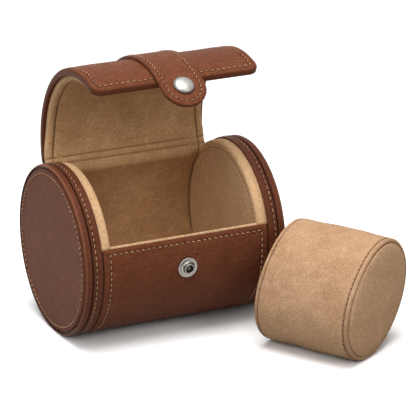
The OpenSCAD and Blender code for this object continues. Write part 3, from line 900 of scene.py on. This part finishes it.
def end_strip(side):
    """The smooth band beside the piping, sewn down along its outer side."""
    near, far = PIPING_W + 0.02, PIPING_W + BAND_W
    heights = [near + 0.8] + [BAND_SEAM_H + k for k in (-0.45, -0.2, 0, 0.2, 0.45, 0.9)]
    heights += [far - 1.6, far - 0.8]
    rows = [(RIM_IN_R, far), (RIM_IN_R, near)]
    rows += [(BARREL_R - 0.7 + x, near + 0.7 - y) for x, y in arc(0, 0, 0.7, 90, 20, 5)]
    rows += [(BARREL_R - 0.28 * dent(h, BAND_SEAM_H, 0.36), h) for h in heights]
    rows += [(BARREL_R - 0.7 + x, far - 0.7 + y) for x, y in arc(0, 0, 0.7, 0, 90, 6)]
    # Darker where it meets the piping and in its stitch groove: painted shade.
    seam = []
    for r, h in rows:
        on_top = dent(h, BAND_SEAM_H, 0.4) if r > BARREL_R - 0.5 else 0.0
        seam.append(0.9 if h < near + 0.25 else on_top)
    made = lathe(f"{side}_end_strip", rows, RIM_STEPS, RIM, end_place(side),
                 {"seam": seam}, closed=True)
    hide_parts(f"{side}_end_band")
    return made, end_seam(side, "band", BARREL_R - 0.05, HALF_LEN - BAND_SEAM_H, BAND_STITCH)


def end_pieces(side):
    for part in (*end_disc(side), end_roll(side), *end_strip(side)):
        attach(part, "case")


def shoulder(side):
    """The suede shoulder: its rim stands proud only under the lid."""
    sign = SIDES[side]
    count = SHOULDER_STEPS
    angles = np.linspace(0, 360, count + 1)[:-1]
    start_a, end_a = PANEL_EDGE_A - 1.2, HINGE_A - 6.4
    mouth = smooth((angles - start_a) / 0.9) * smooth((end_a - angles) / 0.9)
    top = SEAT_R + (SHOULDER_R - SEAT_R) * mouth
    rim = 1.9
    rows = [(0.0, 1, BAND_X), (0.0, 1, SHOULDER_X + rim)]
    rows += [(rim * (1 - math.cos(a)), 1, SHOULDER_X + rim * (1 - math.sin(a)))
             for a in np.linspace(0.2, math.pi / 2, 8)]
    rows += [(d, 1, SHOULDER_X + 0.20 * dent(d, SHOULDER_SEAM_IN, 0.40))
             for d in (2.4, 2.9, 3.2, 3.4, 3.6, 3.8, 4.0, 4.3, 5.0)]
    rows += [(5.0, share, SHOULDER_X) for share in (0.8, 0.6, 0.4, 0.2, 0.0)]
    points = [at_x(sign * BAND_X, np.tile((0.0, AXIS_H), (count, 1)))]
    seam = [np.zeros(count)]
    for inset, share, x in rows:
        points.append(at_x(sign * x, around((top - inset) * share, angles)))
        # The stitch groove is darkened: painted shade.
        marked = 0.25 * dent(inset, SHOULDER_SEAM_IN, 0.3) if share == 1 else 0.0
        seam.append(np.full(count, marked))
    # The whole skin is paler through the light mask: painted light.
    masks = {"seam": np.concatenate(seam), "nap": np.full(len(points) * count, 0.8)}
    made = piece(f"{side}_shoulder_skin", np.concatenate(points), grid_faces(len(points), count),
                 SUEDE, masks)
    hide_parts(f"{side}_shoulder_suede")
    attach(made, "case")
    line = around(SHOULDER_R - SHOULDER_SEAM_IN, np.linspace(PANEL_EDGE_A, end_a, 120))
    line = at_x(sign * (SHOULDER_X + 0.12), line)
    out = np.tile((-sign * 1.0, 0.0, 0.0), (len(line), 1))
    thread = stitches(f"{side}_shoulder_stitches", line, out, SHOULDER_STITCH, SUEDE_THREAD)
    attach(thread, "case")


# Press stud

def snap_place(lift, is_open=True):
    """Lathe heights stand out from the closed snap's seat; its cap goes with the open lid."""
    c, s = cos_sin(LID_EDGE_A - math.degrees(SNAP_REACH / STRAP_IN_R))
    seat, aside = np.array([-c, s]), np.array([s, c])

    def place(p):
        flat = np.array([0.0, AXIS_H]) + seat * (lift + p[:, 2:3]) + aside * p[:, 1:2]
        if is_open:
            flat = opened(flat)
        return np.column_stack([p[:, 0], flat])

    return place


def snap_cap():
    """The domed cap on the strap's tip, rougher at its turned-in rim and darkened there: painted
    shade.
    """
    rows = [(0.0, -0.3), (4.3, -0.3), (4.6, 0.0)] + arc(4.5, 0.45, 0.5, -60, 60, 7)
    rows += [(4.38 * s, 0.92 + 1.08 * c) for c, s in map(cos_sin, np.linspace(84, 0, 12))]
    # Darker and rougher towards the rim: painted shade.
    rim_shade = [smooth((r - 4.0) / 0.8) * 0.7 for r, _ in rows]
    made = lathe("snap_dome", rows, SNAP_STEPS, NICKEL, snap_place(STRAP_R),
                 {"seam": rim_shade})
    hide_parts("snap_cap")
    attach(made, "strap_tip")


def snap_stud():
    """The stud on the panel: a flange, and a raised ring round a hole, darkened in the hole and at
    the flange's foot: painted shade.
    """
    skirt = [(0, -0.3), (4.95, -0.3), (4.95, 0.35)]
    flange = arc(4.65, 0.4, 0.32, 0, 90, 5)
    flange += [(4.1, 0.70), (3.7, 0.56), (3.3, 0.56), (2.85, 0.85), (2.6, 1.5), (2.55, 2.2)]
    flange += arc(2.25, 2.45, 0.34, -20, 160, 9)
    wall = [(1.85, 2.3), (1.8, 0.9), (1.3, 0.62), (1.25, 0.7)]
    well = arc(0.95, 0.85, 0.28, 0, 90, 4) + [(0.0, 1.14)]
    # Darker at the flange's foot and down in the hole: painted shade.
    dark = [0.9, 0.9, 0.8] + [0.0] * len(flange) + [0.8, 1.0, 1.0, 1.0] + [0.95] * len(well)
    made = lathe("stud_ring", skirt + flange + wall + well, SNAP_STEPS, SHADED_NICKEL,
                 snap_place(BARREL_R, False), {"seam": dark})
    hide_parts("snap_stud")
    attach(made, "case")


# Cushion

def oval(steps, off):
    """The cushion's section in (side, height), rolled, and flat where it rests."""
    t = np.linspace(0, 2 * math.pi, steps + 1)[:-1]
    u = np.sign(np.cos(t)) * np.abs(np.cos(t)) ** (2 / CUSHION_POWER) * (CUSHION_A + off)
    v = np.sign(np.sin(t)) * np.abs(np.sin(t)) ** (2 / CUSHION_POWER) * (CUSHION_B + off)
    c, s = cos_sin(CUSHION_ROLL)
    return np.stack([u * s + v * c, u * c - v * s], 1)


CUSHION_H = float(oval(3600, 0.0)[:, 1].max()) - CUSHION_SETTLE


def cushion_place(points):
    """Turns the cushion's own (length, side, height) to its place beside the case."""
    c, s = cos_sin(-CUSHION_TURN)
    x, y = points[:, 0], points[:, 1]
    return np.stack([CUSHION_PLACE[0] + x * c - y * s, CUSHION_PLACE[1] + x * s + y * c,
                     CUSHION_H + points[:, 2]], 1)


def oval_rings(rows, steps=CUSHION_STEPS):
    """Rings at (length, offset) rows, not lower than the table."""
    rings = []
    for s, off in rows:
        flat = oval(steps, off)
        low = -CUSHION_H - min(off, 0.0) * 0.5
        share = np.clip(-flat[:, 1] / (CUSHION_H + CUSHION_SETTLE), 0.0, 1.0)
        height = flat[:, 1] + 0.85 * CUSHION_SETTLE * share ** 3
        rings.append(np.stack([np.full(steps, s), flat[:, 0], np.maximum(height, low)], 1))
    return np.concatenate(rings)


def read_points(mesh):
    flat = np.empty(len(mesh.vertices) * 3)
    mesh.vertices.foreach_get("co", flat)
    return flat.reshape(-1, 3) / MM


class Filling:
    """How the stuffing moves the cushion's skin: cloth under pressure, held at its seams.
    The cloth is a plain closed body, and the sewn pieces then take their moves from it."""

    most = 0.7
    frames = 20
    neighbours = 16

    def __init__(self):
        self.moves = None
        skin = self.closed_body(96)
        start = read_points(skin.data)
        self.press(skin, start)
        moves = read_points(self.evaluated(skin).data) - start
        far = np.linalg.norm(moves, axis=1)[:, None]
        self.moves = moves * np.minimum(1.0, self.most / np.maximum(far, 1e-6))
        self.tree = kdtree.KDTree(len(start))
        for i, p in enumerate(start):
            self.tree.insert(p, i)
        self.tree.balance()
        bpy.context.scene.frame_set(1)
        bpy.data.objects.remove(skin)

    def closed_body(self, steps):
        """The whole cushion as one even skin."""
        spans = np.linspace(-CUSHION_WELT, CUSHION_WELT, 20)
        points = oval_rings([(s, -0.3) for s in spans], steps)
        points = np.concatenate([points[:steps] * (1, 0, 0), points, points[-steps:] * (1, 0, 0)])
        skin = piece("filling", points, grid_faces(len(spans) + 2, steps), FOAM)
        remesh = skin.modifiers.new("remesh", "REMESH")
        remesh.mode = "VOXEL"
        remesh.voxel_size = 4 * MM
        even = bpy.data.meshes.new_from_object(self.evaluated(skin))
        skin.modifiers.clear()
        skin.data = even
        return skin

    def press(self, skin, start):
        """Blows the skin up, held at its seams and where it rests on the table."""
        near_seam = np.abs(np.abs(start[:, 0]) - CUSHION_SEAM) < 2.0
        held = near_seam | (start[:, 2] < -CUSHION_H + 0.6)
        skin.vertex_groups.new(name="held").add(np.flatnonzero(held).tolist(), 1.0, "REPLACE")
        cloth = skin.modifiers.new("cloth", "CLOTH")
        settings = cloth.settings
        settings.vertex_group_mass = "held"
        settings.use_pressure = True
        settings.uniform_pressure_force = 4.0
        settings.effector_weights.gravity = 0.0
        settings.shrink_min = -0.008
        cloth.point_cache.frame_start = 1
        cloth.point_cache.frame_end = self.frames
        for frame_number in range(1, self.frames + 1):
            bpy.context.scene.frame_set(frame_number)

    def evaluated(self, skin):
        return skin.evaluated_get(bpy.context.evaluated_depsgraph_get())

    def moved(self, points, share=1.0):
        """The points with the moves of the cloth nearest to each."""
        if self.moves is None:
            return points
        made = points.copy()
        for k, p in enumerate(points):
            found = self.tree.find_n(p, self.neighbours)
            weight = np.array([1 / (far + 2.0) ** 2 for _, _, far in found])
            near = self.moves[[i for _, i, _ in found]]
            made[k] += share * (weight[:, None] * near).sum(0) / weight.sum()
        return made


def cushion_skin(name, points, dark, nap=None, wrap_rows=False):
    """One sewn piece of the cushion's suede, with each row's painted shade and, where given,
    painted light.
    """
    masks = {"seam": np.repeat(dark, CUSHION_STEPS)}
    if nap is not None:
        masks["nap"] = nap
    faces = grid_faces(len(dark), CUSHION_STEPS, wrap_rows=wrap_rows)
    return piece(name, cushion_place(points), faces, CUSHION_SUEDE, masks)


def cushion_wrap(filling):
    """The crowned wrap between the two seams, drawn in at both."""
    seam = CUSHION_SEAM
    crown = 0.62 if filling.moves is None else 0.45
    inner = [(seam, -1.5), (-seam, -1.5)]
    edge = [(-seam, -1.3), (-seam + 0.04, -0.85), (-seam + 0.3, -0.35), (-seam + 0.8, -0.05)]
    spans = np.linspace(1.5 - seam, seam - 1.5, 30)
    body = [(s, crown * (1 - (s / seam) ** 2) + 0.05) for s in spans]
    rows = inner + edge + body + [(-s, off) for s, off in reversed(edge)]
    start = oval_rings(rows)
    free = [0.0, 0.0, 0.1, 0.2, 0.5, 0.9] + [1.0] * len(body) + [0.9, 0.5, 0.2, 0.1]
    soft = lumps(start, 17.0, 0.35, 21) + lumps(start, 6.5, 0.12, 22)
    change = filling.moved(start) - start + unit(start * (0, 1, 1)) * soft[:, None]
    points = start + change * np.repeat(free, CUSHION_STEPS)[:, None]
    points[:, 2] = np.maximum(points[:, 2], -CUSHION_H)
    # Darker at the seams: painted shade.
    dark = [0.0, 0.0, 1.0, 0.7, 0.2, 0.0] + [0.0] * len(body) + [0.0, 0.2, 0.7, 1.0]
    # Lighter towards the bottom, which is in shade: painted light.
    nap = smooth(0.25 - points[:, 2] / CUSHION_H)
    made = cushion_skin("cushion_wrap_skin", points, dark, nap, wrap_rows=True)
    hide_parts("cushion_wrap")
    return made


def cushion_welt(side):
    """The rolled welt beyond a seam."""
    sign = SIDES[side]
    seam, welt = CUSHION_SEAM, CUSHION_WELT
    rows = [(seam, -2.6), (seam, -1.3), (seam + 0.04, -0.8), (seam + 0.3, -0.32),
            (seam + 0.75, -0.12), (seam + 1.25, -0.22), (seam + 1.7, -0.6), (welt - 0.2, -1.15),
            (welt - 0.15, -1.7), (welt - 0.4, -2.1), (welt - 0.9, -2.3), (welt - 0.9, -2.6)]
    points = oval_rings([(sign * s, off) for s, off in rows])
    # Darker in the seam and under the welt: painted shade.
    dark = [1, 1, 0.5, 0.1, 0, 0, 0, 0, 0.05, 0.3, 0.5, 0.7]
    made = cushion_skin(f"cushion_{side}_edge", points, dark, wrap_rows=True)
    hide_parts(f"cushion_{side}_welt")
    return made


def cushion_face(side, filling):
    """The oval suede face inside a welt, filled a little in its middle."""
    sign = SIDES[side]
    seam, welt = CUSHION_SEAM, CUSHION_WELT
    rows = [(seam + 1.1, -2.7), (welt - 0.9, -2.7), (welt - 0.5, -2.35), (welt - 0.15, -2.4),
            (welt + 0.12, -2.8), (welt + 0.3, -3.6)]
    rings = [oval_rings([(sign * s, off)]) for s, off in rows]
    rim = rings[-1]
    for share in (0.86, 0.72, 0.58, 0.44, 0.30, 0.15, 0.0):
        ring = rim * (1, share, share)
        ring[:, 0] = sign * (welt + 0.3 + 0.7 * (1 - share ** 2))
        rings.append(ring)
    points = np.concatenate([rings[0] * (1, 0, 0), *rings])
    bulge = filling.moved(points, 0.7)[:, 0] - points[:, 0]
    bulge = bulge + sign * lumps(points, 12.0, 0.22, 31)
    points[:, 0] += bulge * (np.abs(points[:, 0]) > welt + 0.2)
    # Darker where the face meets the welt: painted shade; the whole face is paler through the light
    # mask: painted light.
    dark = [0, 0, 0.5, 0.3, 0.05, 0, 0] + [0] * 7
    made = cushion_skin(f"cushion_{side}_cap", points, dark, np.full(len(points), 0.6))
    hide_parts(f"cushion_{side}_face")
    return made


def cushion_seam(side):
    """The stitches beside a seam."""
    line = oval_rings([(SIDES[side] * (CUSHION_SEAM - 0.35), -0.42)])
    out = cushion_place(line + line * (0, 1, 1)) - cushion_place(line)
    return stitches(f"cushion_{side}_stitches", cushion_place(line), out, CUSHION_STITCH,
                    LINING_THREAD, closed=True)


def cushion():
    filling = Filling()
    parts = [cushion_wrap(filling)]
    for side in SIDES:
        parts += [cushion_welt(side), cushion_face(side, filling), cushion_seam(side)]
    for part in parts:
        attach(part, "cushion")


# Board, foam and metal inside, and the studio

def dress_cad():
    """Gives each CAD node that still shows, or is sealed inside, its own finish."""
    finishes = {"cover_leather": COVER, "rim_leather": RIM, "suede": SUEDE,
                "cushion_suede": CUSHION_SUEDE, "card": CARD, "foam": FOAM, "nickel": SHADED_NICKEL}
    slots = {part["node"]: part["material_slot"] for part in frame["record"]["subparts"]}
    for name, obj in frame["nodes"].items():
        finish = RIVET_NICKEL if name == "stud_rivet" else finishes[slots[name]]
        obj.data.materials.clear()
        obj.data.materials.append(finish)


def white_room():
    """Soft light from all round, and white for the camera and for reflections."""
    scene = bpy.context.scene
    scene.world = bpy.data.worlds.new("studio")
    scene.world.use_nodes = True
    sky = Nodes(scene.world.node_tree)
    sky.tree.nodes.clear()
    soft = sky.node("ShaderNodeBackground", {}, Color=(1.0, 0.985, 0.965, 1), Strength=0.27)
    white = sky.node("ShaderNodeBackground", {}, Color=(1, 1, 1, 1), Strength=1.0)
    both = sky.node("ShaderNodeMixShader", {}, sky.seen(), soft, white)
    sky.node("ShaderNodeOutputWorld", {}, both)


def pale_floor():
    """White paper that keeps the shadows near the case, and lights nothing from below."""
    finish = Finish("pale_floor", Roughness=0.9, Specular_IOR_Level=0.1)
    tone = finish.noise(3.0, 2.0, 0.5).ramp(0.4, 0.6)
    finish.set("Base Color", finish.mix(tone, shade((1, 1, 1), 0.27), shade((1, 1, 1), 0.29)))
    paper = Socket(finish, finish.shader.outputs["BSDF"])
    white = finish.node("ShaderNodeBsdfDiffuse", {}, Color=(1.18, 1.18, 1.18, 1))
    glow = finish.node("ShaderNodeEmission", {}, Color=(1, 1, 1, 1), Strength=1.0)
    far = finish.node("ShaderNodeVectorMath", {"operation": "LENGTH"}, finish.place, out="Value")
    bright = finish.node("ShaderNodeMixShader", {}, far.ramp(0.28, 0.60), white, glow)
    both = finish.node("ShaderNodeMixShader", {}, finish.seen(), paper, bright)
    finish.feed(finish.tree.nodes["Material Output"].inputs["Surface"], both)
    size = 6.0
    mesh = bpy.data.meshes.new("floor")
    mesh.from_pydata([(-size, -size, 0), (size, -size, 0), (size, size, 0), (-size, size, 0)], [],
                     [(0, 1, 2, 3)])
    mesh.materials.append(finish.material)
    add_object("floor", mesh)


def studio():
    bpy.context.scene.view_settings.view_transform = "Standard"
    white_room()
    pale_floor()
    add_lamp("top", (-0.10, -0.15, 1.40), 1.2, 20.5)
    add_lamp("key", (-0.85, -0.65, 1.05), 0.7, 4.0)
    add_lamp("left", (-0.80, -0.98, 0.70), 0.6, 2.4)
    add_lamp("right", (0.45, -1.10, 0.78), 0.6, 3.3)


cover()
lining()
strap()
for side in SIDES:
    end_pieces(side)
    shoulder(side)
snap_cap()
snap_stud()
cushion()
dress_cad()
studio()
